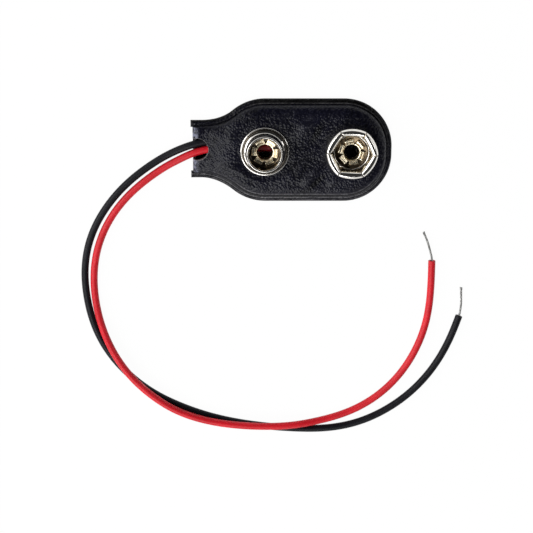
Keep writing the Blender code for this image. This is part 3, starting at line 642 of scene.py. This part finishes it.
def pouch(wall):
    """The folded strip's outside for no wall, or its inside, one wall further in."""
    edge = RIM_WIDTH + wall
    lift = RIM_LIFT + BACK_LIFT
    back = [(edge + BACK_RISE * t, wall + lift * (1 - math.sin(math.pi / 2 * t))) for t in BACK_SHARES]
    foot = [] if wall else [(edge + out * MM, WELD_TOP + up * MM) for out, up in FOOT]
    front = [(t, math.sin(math.pi / 2 * t)) for t in (INSIDE_SHARES if wall else OUTSIDE_SHARES)]
    insets = [inset for inset, _ in back + foot] + [edge + FRONT_RISE * t for t, _ in front]
    outlines = {inset: half_outline(inset) for inset in insets}

    def column(station):
        points = [(*outlines[inset][station], height) for inset, height in back + foot]
        for t, share in front:
            x, y = outlines[edge + FRONT_RISE * t][station]
            top = front_height(x)
            points.append((x, y, WELD_TOP + (top - WELD_TOP) * share**FULLNESS - wall))
        return points

    middle = NECK_TOP / 2
    reach = NECK_TOP / 2 - wall
    straight = FOLD_X + wall + reach
    first = column(0)
    columns = []
    for k in range(1, FOLD_STEPS):
        a = math.pi / 2 * k / FOLD_STEPS
        x = FOLD_X + wall + reach * (1 - math.cos(a))
        columns.append([(x, y, middle + (z - middle) * math.sin(a)) for _, y, z in first])
    columns.append([(straight, y, z) for _, y, z in first])
    columns += [column(s) for s, (x, _) in enumerate(outlines[edge]) if s and x > straight + 0.1 * MM]

    bm = bmesh.new()
    right = [[bm.verts.new(p) for p in points] for points in columns]
    left = [[bm.verts.new((x, -y, z)) for x, y, z in points] for points in columns]
    ring = right + left[::-1]
    for here, there in zip(ring[:-1], ring[1:]):
        for j in range(len(here) - 1):
            bm.faces.new((here[j], here[j + 1], there[j + 1], there[j]))

    def leaf(row, steps):
        """A leaf between the two sides, as a grid, so that the front one can swell."""
        rungs = []
        for i, points in enumerate(columns):
            x, y, z = points[row]
            rung = [right[i][row]]
            for k in range(1, steps):
                yy = y - 2 * y * k / steps
                up = 0.0 if wall or i < FOLD_STEPS else swell(x, yy) * ease(min(k, steps - k) / SWELL_EDGE)
                if not wall and i >= len(columns) - SWELL_END:
                    up *= (len(columns) - 1 - i) / SWELL_END
                rung.append(bm.verts.new((x, yy, z + up)))
            rungs.append(rung + [left[i][row]])
        for here, there in zip(rungs[:-1], rungs[1:]):
            for k in range(steps):
                bm.faces.new((here[k], here[k + 1], there[k + 1], there[k]))
        return rungs

    leaf(0, 1)
    front_rungs = leaf(-1, ACROSS_STEPS)
    bm.faces.new(right[0] + front_rungs[0][1:-1] + left[0][::-1])
    return off_centre(bm)


# The welded rim from its underside over its edge and the pressed line: inset and height, in mm
RIM_PROFILE = (
    (1.05, 0.0), (0.14, 0.0), (0.045, 0.03), (0.0, 0.12), (0.0, 0.42), (0.02, 0.50), (0.06, 0.56),
    (0.13, 0.62), (0.22, 0.68), (0.32, 0.72), (0.38, 0.73), (0.42, 0.70), (0.46, 0.70), (0.50, 0.75),
    (0.58, 0.79), (0.68, 0.80), (0.76, 0.76), (1.05, 0.74),
)
EAR_TAPER = 0.45  # how much of an inset the ears follow


def rim_plate():
    """The welded rim with soft edges, its pressed line and the two ears."""
    bm = bmesh.new()
    loops = []
    for inset_mm, height in RIM_PROFILE:
        inset, z = inset_mm * MM, RIM_LIFT + height * MM
        ear = EAR_TAPER * inset
        inner, outer = NECK_WIDTH / 2 - EAR_WIDTH + ear, NECK_WIDTH / 2 - ear
        tip = FOLD_X - EAR_OVERHANG + ear
        half = [(FOLD_X + NECK_TOP, inner), (FOLD_X + NECK_TOP * 0.5, inner), (tip, inner), (tip, outer)]
        for k, (x, y) in enumerate(half_outline(inset)):
            if k < NECK_STEPS:
                y = NECK_WIDTH / 2 - inset * (EAR_TAPER + (1 - EAR_TAPER) * k / NECK_STEPS)
            half.append((x, y))
        outline = half + [(x, -y) for x, y in half[::-1]]
        loops.append([bm.verts.new((x, y, z)) for x, y in outline])
    bridge(bm, loops)
    bm.faces.new(loops[0][::-1])
    bm.faces.new(loops[-1])
    return off_centre(bm)


def distance_to_outline(points, batch=4000):
    """Distance in millimetres from (x, y) points to the welded edge, a batch of them at a time."""
    half = half_outline(0.0)[NECK_STEPS:]
    half = [(FOLD_X - EAR_OVERHANG, NECK_WIDTH / 2)] + half
    line = np.array([(x, y + side_step(x)) for x, y in half + [(x, -y) for x, y in half[::-1]]])
    a, b = line[:-1], line[1:]
    d = b - a
    best = np.full(len(points), 1e9)
    for start in range(0, len(points), batch):
        p = points[start:start + batch]
        t = np.clip(((p[:, None] - a) * d).sum(2) / np.maximum((d * d).sum(1), 1e-18), 0, 1)
        gap = np.linalg.norm(p[:, None] - (a + t[..., None] * d), axis=2).min(1)
        best[start:start + batch] = gap
    return best / MM


def make_cover():
    cover = new_object("cover_looks", pouch(0.0), VINYL)
    rim = new_object("rim_tool", rim_plate())
    tools = [new_object("inside_tool", pouch(LEAF))]
    for x in (STUD_X, SOCKET_X):
        hole = prism(circle(HOLE, 64), FRONT_TOP - 0.9 * MM, FRONT_TOP + 0.5 * MM, (x, 0.0))
        tools.append(new_object("hole_tool", hole))
    notch = prism(circle(NOTCH_RADIUS, 96), LEAF + SEAT / 2, FRONT_TOP, (NOTCH_X, NOTCH_Y))
    tools.append(new_object("notch_tool", notch))
    cut(cover, tools, joined=[rim])
    co = places(cover)
    mark(cover, "rim_inset", distance_to_outline(co[:, :2]))
    front = co[:, 2] > NECK_TOP - 0.1 * MM
    mark(cover, "creases", [CREASE_SHADE * crease(x / MM, y / MM) * up for (x, y, _), up in zip(co, front)])
    gap = np.abs(np.hypot(co[:, 0] - NOTCH_X, co[:, 1] - NOTCH_Y) - NOTCH_RADIUS) / MM
    mark(cover, "notch_gap", gap)
    smooth(cover, 42)
    return finish_piece(cover, "black_vinyl", "cover")


# ---------------- terminals and eyelets
def stud_section():
    """The stud's wall: under the flange and round its edge, up over the rim, and down to the floor."""
    roll = 0.14 * MM
    dip = 0.12 * MM
    rim = BEAD - RIM_INSET
    turn = rim - OPENING
    points = [(HOLE, 0.0)]
    points += arc((TROUGH + FLANGE_WIDTH - roll, roll), (roll, roll), -90, 150, 18)
    points += [(TROUGH + 0.16 * MM, 0.15 * MM), (TROUGH + 0.11 * MM, dip)]
    points += arc((TROUGH, dip + 0.85 * STUD_FILLET), (STUD_FILLET, 0.85 * STUD_FILLET), 270, 180, 10)
    points += arc((NECK, STUD_HEIGHT - BEAD_DROP), (BEAD_DEPTH, 0.45 * BEAD_DROP), -60, 30, 8)
    points += arc((rim, STUD_HEIGHT - 0.65 * BEAD_DROP), (BEAD_DEPTH, 0.65 * BEAD_DROP), 35, 90, 8)
    points += arc((rim - 0.45 * turn, STUD_HEIGHT - turn), (0.55 * turn, turn), 90, 180, 8)
    points += arc((OPENING - STUD_FLOOR, 2 * STUD_FLOOR), (STUD_FLOOR, STUD_FLOOR), 0, -90, 8)
    points += [(HOLE, STUD_FLOOR)]
    return points


def socket_section():
    """The socket's wall as (radius, height, flatness): up to the crest, over it to the lips, back inside."""
    crest = LIP + LIP_WIDTH
    barrel = crest + CREST_WIDTH
    base = barrel - FLARE
    widest = SOCKET_HEIGHT - BARREL_DROP
    end = SOCKET_HEIGHT - LIP_DROP
    points = [(HOLE, 0.0, 0.0), (base - SHEET, 0.0, 0.0)]
    points += [(base - 0.1 * MM, 0.03 * MM, 0.0), (base, 0.125 * MM, 0.0)]
    for k in range(1, 11):
        t = k / 10
        points.append((base + FLARE * math.sin(math.pi / 2 * t), widest * (0.12 + 0.88 * t), 0.14 * t))
    shoulder, lip = [], []
    for k in range(1, 13):
        t = k / 12
        sine, cosine = math.sin(math.pi / 2 * t), math.cos(math.pi / 2 * t)
        shoulder.append((crest + CREST_WIDTH * cosine, widest + BARREL_DROP * sine, 0.14 + 0.30 * t))
        lip.append((crest - LIP_WIDTH * (0.2 + 0.8 * sine), end + LIP_DROP * cosine, 0.55 + 0.45 * t))
    points += shoulder + [(crest - 0.2 * LIP_WIDTH, SOCKET_HEIGHT, 0.55)] + lip
    inside = [
        (LIP + 0.35 * SHEET, end - 0.4 * SHEET, 1.0),
        (LIP + SHEET, end + 0.1 * SHEET, 0.95),
        (crest - 0.45 * LIP_WIDTH, SOCKET_HEIGHT - 1.35 * SHEET, 0.7),
        (crest, SOCKET_HEIGHT - 1.1 * SHEET, 0.44),
        (barrel - 1.3 * SHEET, widest + 0.45 * BARREL_DROP, 0.24),
        (barrel - SHEET, widest, 0.14),
        (base + 0.7 * FLARE - SHEET, 0.6 * widest, 0.07),
        (base - SHEET, SHEET + 0.30 * MM, 0.0),
    ]
    points += curve_through(inside, 4)
    step = ((0.36, 0.30), (0.30, 0.33), (0.24, 0.35), (0.18, 0.33), (0.12, 0.26), (0.0, 0.0))
    points += [(OPENING + out * MM, SHEET + up * MM, 0.0) for out, up in step]
    return points + [(HOLE, SHEET, 0.0)]


def mark_dull_and_shade(obj, radius, height, trough=None, bead=None):
    """Marks what lies inside a radius and below a height, or low in a trough, for dull plating and painted
    shade.

    A bead is a radius that stays bright.
    """
    co = places(obj)
    away = np.hypot(co[:, 0], co[:, 1])
    dull_and_shade = np.clip((radius - away) / (0.1 * MM), 0, 1) * np.clip((height - co[:, 2]) / (0.35 * MM), 0, 1)
    if trough:
        near = np.clip(1.6 - np.abs(away - trough) / (0.10 * MM), 0, 1)
        dull_and_shade = np.maximum(dull_and_shade, near * np.clip((0.30 * MM - co[:, 2]) / (0.06 * MM), 0, 1))
    if bead:
        dull_and_shade *= np.clip(np.abs(away - bead) / (0.06 * MM) - 1, 0.1, 1)
    mark(obj, "inner", dull_and_shade)


def make_stud():
    stud = new_object("stud_looks", turned(stud_section(), 144), RINGED)
    mark_dull_and_shade(stud, OPENING + 0.08 * MM, STUD_HEIGHT - 0.30 * MM, trough=TROUGH + 0.08 * MM)
    stud.location = (STUD_X, 0.0, TERMINAL_BASE)
    smooth(stud, 50)
    return finish_piece(stud, "nickel_plate", "stud_terminal")


def slit_tool():
    """One upright plate for each slit, from inside the lips to outside the barrel."""
    near, far = 2.05 * MM, 4.9 * MM
    low, high = 0.6 * MM, 4.6 * MM
    slits = bmesh.new()
    for k in range(PETALS):
        made = bmesh.ops.create_cube(slits, size=1.0)["verts"]
        for v in made:
            x, y, z = v.co
            v.co = (far if x > 0 else near, math.copysign(SLIT_WIDTH / 2, y), high if z > 0 else low)
        spin(slits, math.radians(SLIT_ANGLE + 360 / PETALS * k), made)
    return new_object("slit_tool", slits)


def make_socket():
    bm = turned(socket_section(), PETALS * 20, sided(PETALS))
    spin(bm, math.radians(SLIT_ANGLE))
    socket = new_object("socket_looks", bm, NICKEL)
    cut(socket, [slit_tool()])
    bevel(socket, 0.035 * MM)
    mark_dull_and_shade(socket, BEAD + 0.35 * MM, SOCKET_HEIGHT - BARREL_DROP, bead=OPENING + 0.23 * MM)
    socket.location = (SOCKET_X, 0.0, TERMINAL_BASE)
    smooth(socket, 45)
    return finish_piece(socket, "nickel_plate", "socket_terminal")


# The gaps between an eyelet's petals
PETAL_GAP = 0.7 * MM  # the solid's gap, which sets how far the petals reach
GAP_SPREAD = 0.52 * MM  # half the wedge's width at the petals' corners
GAP_DEPTH = 0.84 * MM
GAP_START = 0.07 * MM  # inside the barrel's outer face


def eyelet_section(floor):
    """The eyelet's wall as (radius, height, flatness), with the petals' reach and the barrel's radius."""
    wall, bore, rise = EYELET_WALL, EYELET_BORE, PETAL_RISE
    barrel = bore + wall
    seat = floor + SEAT
    half_side = math.pi / PETALS
    square = math.cos(half_side) ** 2
    gap, radius = PETAL_GAP / 2, OPENING - PETAL_CLEARANCE
    lean = gap * math.tan(half_side)
    reach = (lean + math.sqrt(lean**2 + (radius**2 - gap**2) / square)) * square
    middle = (bore + reach) / 2
    under = (barrel + reach) / 2
    points = [(bore + 0.5 * wall, 0.0)]
    points += arc((EYELET_FLANGE - wall / 2, wall / 2), (wall / 2, wall / 2), -90, 90, 6)
    points += [(barrel, wall), (barrel, seat)]
    points += arc((under, seat), (reach - under - 0.4 * wall, rise - wall), 165, 10, 12)
    points += [(reach - 0.4 * wall, seat), (reach, seat + 0.3 * wall)]
    top = [
        (reach - 0.02 * MM, 0.38), (reach - 0.09 * MM, 0.70), (reach - 0.22 * MM, 0.84),
        (middle + 0.04 * MM, 0.70), (middle - 0.07 * MM, 0.80), (bore + 0.26 * MM, 1.0),
        (bore + 0.12 * MM, 0.88), (bore + 0.03 * MM, 0.5), (bore, 0.1),
    ]
    points += curve_through([(r, seat + share * rise) for r, share in top], 3) + [(bore, 0.5 * wall)]

    def flatness(r, z):
        return min(1.0, max(0.0, (r - barrel) / (reach - barrel))) ** 0.6 if z > floor else 0.0

    return [(r, z, flatness(r, z)) for r, z in points], reach, barrel


def make_eyelet(name, x, floor, petal_angle, replaced):
    """A rivet rolled over in petals on a terminal's floor, with a wedge cut out between each two."""
    floor_height = TERMINAL_BASE - EYELET_BASE + floor
    section, reach, barrel = eyelet_section(floor_height)
    sector = 2 * math.pi / PETALS
    bm = turned(section, PETALS * 16, sided(PETALS))
    spin(bm, petal_angle - sector / 2)
    eyelet = new_object(name, bm, BRASS)
    gaps = bmesh.new()
    start, corner = barrel - GAP_START, reach / math.cos(sector / 2)
    far = 1.5 * corner
    spread = GAP_SPREAD * (far - start) / (corner - start)
    for k in range(PETALS):
        wedge = prism([(start, 0.0), (far, -spread), (far, spread)], floor_height, floor_height + GAP_DEPTH)
        spin(wedge, petal_angle + sector * (k + 0.5))
        piece = bpy.data.meshes.new("gap")
        wedge.to_mesh(piece)
        wedge.free()
        gaps.from_mesh(piece)
        bpy.data.meshes.remove(piece)
    cut(eyelet, [new_object("gap_tool", gaps)])
    bevel(eyelet, 0.025 * MM)
    eyelet.location = (x, 0.0, EYELET_BASE)
    smooth(eyelet, 45)
    return finish_piece(eyelet, "brass", replaced)


# ---------------- leads
def smooth_route(points, step):
    """Points at even steps along the natural cubic curve through the given ones."""
    p = np.array(points)
    along = np.concatenate([[0.0], np.cumsum(np.linalg.norm(np.diff(p, axis=0), axis=1))])
    gap = np.diff(along)
    count = len(p)
    system, right = np.zeros((count, count)), np.zeros((count, 3))
    system[0, 0] = system[-1, -1] = 1.0
    for i in range(1, count - 1):
        system[i, i - 1:i + 2] = gap[i - 1], 2 * (gap[i - 1] + gap[i]), gap[i]
        right[i] = 6 * ((p[i + 1] - p[i]) / gap[i] - (p[i] - p[i - 1]) / gap[i - 1])
    bend = np.linalg.solve(system, right)
    route = []
    for s in np.linspace(0.0, along[-1], round(along[-1] / step) + 1):
        i = min(int(np.searchsorted(along, s, "right")) - 1, count - 2)
        before, after, h = s - along[i], along[i + 1] - s, gap[i]
        route.append(
            (bend[i] * after**3 + bend[i + 1] * before**3) / (6 * h)
            + (p[i] / h - bend[i] * h / 6) * after
            + (p[i + 1] / h - bend[i + 1] * h / 6) * before
        )
    return np.array(route)


class Path:
    """A line in space with a steady frame along it."""

    def __init__(self, points):
        self.points = np.array(points, float)
        steps = np.linalg.norm(np.diff(self.points, axis=0), axis=1)
        self.along = np.concatenate([[0.0], np.cumsum(steps)])
        self.length = self.along[-1]
        tangents = np.gradient(self.points, self.along, axis=0)
        self.tangents = tangents / np.linalg.norm(tangents, axis=1)[:, None]
        side = np.cross(self.tangents[0], (0.0, 0.0, 1.0))
        if np.linalg.norm(side) < 1e-6:
            side = np.array((1.0, 0.0, 0.0))
        self.sides = [side / np.linalg.norm(side)]
        for t in self.tangents[1:]:
            s = self.sides[-1] - t * (self.sides[-1] @ t)
            self.sides.append(s / np.linalg.norm(s))
        self.sides = np.array(self.sides)

    def at(self, s):
        """Place, side and upward directions at a distance along, which may lie past either end."""
        inside = min(max(s, 0.0), self.length)
        place, tangent, side = (
            np.array([np.interp(inside, self.along, values[:, k]) for k in range(3)])
            for values in (self.points, self.tangents, self.sides)
        )
        tangent /= np.linalg.norm(tangent)
        side -= tangent * (side @ tangent)
        side /= np.linalg.norm(side)
        return place + tangent * (s - inside), side, np.cross(tangent, side)


def sweep(bm, path, profile, sides):
    """Rings of given (distance, radius) along a path, closed at both ends."""
    rings = []
    for s, radius in profile:
        centre, u, v = path.at(s)
        rings.append([
            bm.verts.new(centre + radius * (u * math.cos(a) + v * math.sin(a)))
            for a in (2 * math.pi * k / sides for k in range(sides))
        ])
    bridge(bm, rings)
    bm.faces.new(rings[0][::-1])
    bm.faces.new(rings[-1])


# The insulation's cut end: millimetres before the end, and share of its radius
CUT_END = (
    (0.07, 1.0), (0.03, 0.985), (0.008, 0.93), (0.0, 0.84), (0.002, 0.62), (0.02, 0.50), (0.06, 0.42),
    (0.3, 0.38), (0.9, 0.36),
)


def make_insulation(name, route, mat, slot, replaced):
    """A lead's insulation, with a rounded cut end that is hollow round the conductor."""
    dense = smooth_route(route, ROUTE_STEP)
    path = Path(dense)
    radius = LEAD_DIAMETER / 2
    end = path.length
    steps = int(end / (0.55 * MM))
    profile = [(0.0, 0.30 * radius), (0.0, 0.9 * radius), (0.04 * MM, radius)]
    profile += [(0.2 * MM + (end - 0.35 * MM) * k / steps, radius) for k in range(steps + 1)]
    profile += [(end - before * MM, share * radius) for before, share in CUT_END]
    bm = bmesh.new()
    sweep(bm, path, profile, LEAD_SIDES)
    obj = new_object(name, bm, mat)
    smooth(obj, 60)
    finish_piece(obj, slot, replaced)
    return obj, dense


# How much further than the tip's end each strand reaches, in mm
STRAND_ENDS = (0.0, -0.12, -0.02, -0.3, -0.06, -0.2, -0.1)


def make_strands(name, route, tip_end, replaced, seed, steps=64):
    """Seven tinned strands, six laid round one, that stand out of the cut end and fray a little."""
    dense = smooth_route(route, ROUTE_STEP)
    end, before = dense[-1], dense[-2]
    ahead = (end - before) / np.linalg.norm(end - before)
    tip = np.array(tip_end)
    bow = end + ahead * 0.25 * np.linalg.norm(tip - end)
    centre = [end - ahead * 0.8 * MM, end - ahead * 0.4 * MM]
    for k in range(25):
        t = k / 24
        point = (1 - t) ** 2 * end + 2 * t * (1 - t) * bow + t**2 * tip
        wander = np.array((math.sin(9 * t + seed), math.cos(7 * t + 2 * seed), 0.0)) * 0.03 * MM * t
        centre.append(point + wander)
    path = Path(smooth_route(centre, 0.1 * MM))
    fray = 0.6 * MM
    bm = bmesh.new()
    for j in range(STRANDS):
        off = LAY_RADIUS if j else 0.0
        total = path.length + STRAND_ENDS[(j + seed) % STRANDS] * MM
        points = []
        for k in range(steps + 1):
            s = total * k / steps
            place, u, v = path.at(s)
            loosen = 1.0 + 0.7 * max(0.0, (s - path.length + fray) / fray) * (0.4 + 0.6 * (j % 3) / 2)
            a = 2 * math.pi * (j / 6 + s / LAY_LENGTH)
            points.append(place + off * loosen * (u * math.cos(a) + v * math.sin(a)))
        line = Path(points)
        lumps = []
        for k in range(steps + 1):
            radius = STRAND_RADIUS * (1 + 0.10 * math.sin(k * 1.7 + j * 2.1)) * (0.55 if k == steps else 1)
            lumps.append((line.length * k / steps, radius))
        sweep(bm, line, lumps, 8)
    obj = new_object(name, bm, TINNED)
    smooth(obj, 60)
    return finish_piece(obj, "tinned_copper", replaced)


make_cover()
make_stud()
make_socket()
make_eyelet("stud_eyelet_looks", STUD_X, STUD_FLOOR, math.radians(STUD_PETAL_ANGLE), "stud_eyelet")
make_eyelet("socket_eyelet_looks", SOCKET_X, SHEET, math.radians(SOCKET_PETAL_ANGLE), "socket_eyelet")

red_lead, red_path = make_insulation("red_lead_looks", RED_ROUTE, RED, "red_insulation", "red_lead")
black_lead, black_path = make_insulation(
    "black_lead_looks", BLACK_ROUTE, BLACK, "black_insulation", "black_lead"
)
red_strands = make_strands("red_tip_looks", RED_ROUTE, RED_TIP_END, "red_lead_tip", 1)
black_strands = make_strands("black_tip_looks", BLACK_ROUTE, BLACK_TIP_END, "black_lead_tip", 3)

for name, mat in (
    ("carrier_board", BOARD), ("red_inner_end", TINNED), ("black_inner_end", TINNED),
    ("red_solder", SOLDER), ("black_solder", SOLDER),
):
    data = nodes[name].data
    data.materials.clear()
    data.materials.append(mat)


# ---------------- floor, light and camera
FLOOR_DROP = 0.02 * MM
FLOOR_GREY = 0.92
FLOOR_GLOW = 0.97  # how much of the floor is plain white where the camera or a mirror sees it
PATCH = (0.50, 0.30, 0.81)  # the direction of the dark patch overhead
LAMP_AIM = (0.0, -0.01, 0.0)
CAMERA_AIM = (-0.00610, -0.018375, 0.0)
CAMERA_TILT = 16.5  # degrees from straight down
CAMERA_DISTANCE = 0.220
FOCAL_LENGTH = 97.69  # millimetres, on a sensor 36 mm wide


def make_floor():
    """A white floor that keeps the object's soft shadow and shows as white."""
    n = Nodes(bpy.data.materials.new("floor_white"), empty=True)
    ray = n.add("ShaderNodeLightPath").outputs
    seen = n.larger(n.larger(ray["Is Camera Ray"], ray["Is Glossy Ray"]), ray["Is Transmission Ray"])
    diffuse = n.add("ShaderNodeBsdfDiffuse", {"Color": (FLOOR_GREY,) * 3}).outputs[0]
    glow = n.add("ShaderNodeEmission").outputs[0]
    both = n.add("ShaderNodeMixShader", {0: n.times(seen, FLOOR_GLOW), 1: diffuse, 2: glow}).outputs[0]
    n.add("ShaderNodeOutputMaterial", {"Surface": both})
    bm = bmesh.new()
    bmesh.ops.create_circle(bm, cap_ends=True, segments=64, radius=1.2)
    mesh = bpy.data.meshes.new("floor")
    bm.to_mesh(mesh)
    bm.free()
    mesh.materials.append(n.owner)
    floor = linked("floor", mesh)
    floor.location = (0.0, 0.0, -FLOOR_DROP)


def dot_ramp(n, direction, near, far):
    """A grey level that runs between two (cosine, level) pairs round a direction of the room."""
    place = n.add("ShaderNodeTexCoord").outputs["Generated"]
    dot = n.add("ShaderNodeVectorMath", {0: place, 1: direction}, operation="DOT_PRODUCT").outputs["Value"]
    ramp = n.add("ShaderNodeValToRGB", {0: dot})
    for element, (position, level) in zip(ramp.color_ramp.elements, (near, far)):
        element.position = position
        element.color = (level, level, level, 1)
    return ramp.outputs["Color"]


def make_world():
    """A white room with a dark patch overhead and a white ring low down, which the metal mirrors."""
    world = bpy.data.worlds.new("studio")
    bpy.context.scene.world = world
    n = Nodes(world, empty=True)
    overhead = dot_ramp(n, PATCH, (0.30, 1.0), (0.56, 0.03))
    horizon = dot_ramp(n, (0.0, 0.0, 1.0), (0.23, 1.0), (0.34, 0.0))
    glow = n.add("ShaderNodeBackground", {"Color": n.mix(1.0, overhead, horizon, "LIGHTEN")}).outputs[0]
    n.add("ShaderNodeOutputWorld", {"Surface": glow})


def area_light(name, at, size, power):
    """A rectangular lamp that is aimed beside the middle of the cover."""
    light = bpy.data.lights.new(name, "AREA")
    light.shape = "RECTANGLE"
    light.size, light.size_y = size
    light.energy = power
    lamp = linked(name, light)
    lamp.location = at
    lamp.rotation_euler = (Vector(LAMP_AIM) - Vector(at)).to_track_quat("-Z", "Y").to_euler()


def make_camera():
    """Looks down at the leads' loop, tilted a little from straight down."""
    tilt = math.radians(CAMERA_TILT)
    camera = bpy.data.cameras.new("camera")
    camera.sensor_fit = "HORIZONTAL"
    camera.sensor_width = 36.0
    camera.lens = FOCAL_LENGTH
    camera.clip_start = 0.005
    camera.clip_end = 10.0
    obj = linked("camera", camera)
    away = Vector((0.0, CAMERA_DISTANCE * math.sin(tilt), CAMERA_DISTANCE * math.cos(tilt)))
    obj.location = Vector(CAMERA_AIM) + away
    obj.rotation_euler = (-tilt, 0.0, 0.0)
    bpy.context.scene.camera = obj


make_floor()
make_world()
area_light("left", (-0.42, 0.05, 0.30), (0.34, 0.40), 1.7)
area_light("right", (0.34, 0.06, 0.34), (0.09, 0.13), 0.15)
area_light("front", (-0.14, -0.27, 0.39), (0.30, 0.24), 1.25)
make_camera()
bpy.context.scene.view_settings.view_transform = "Standard"
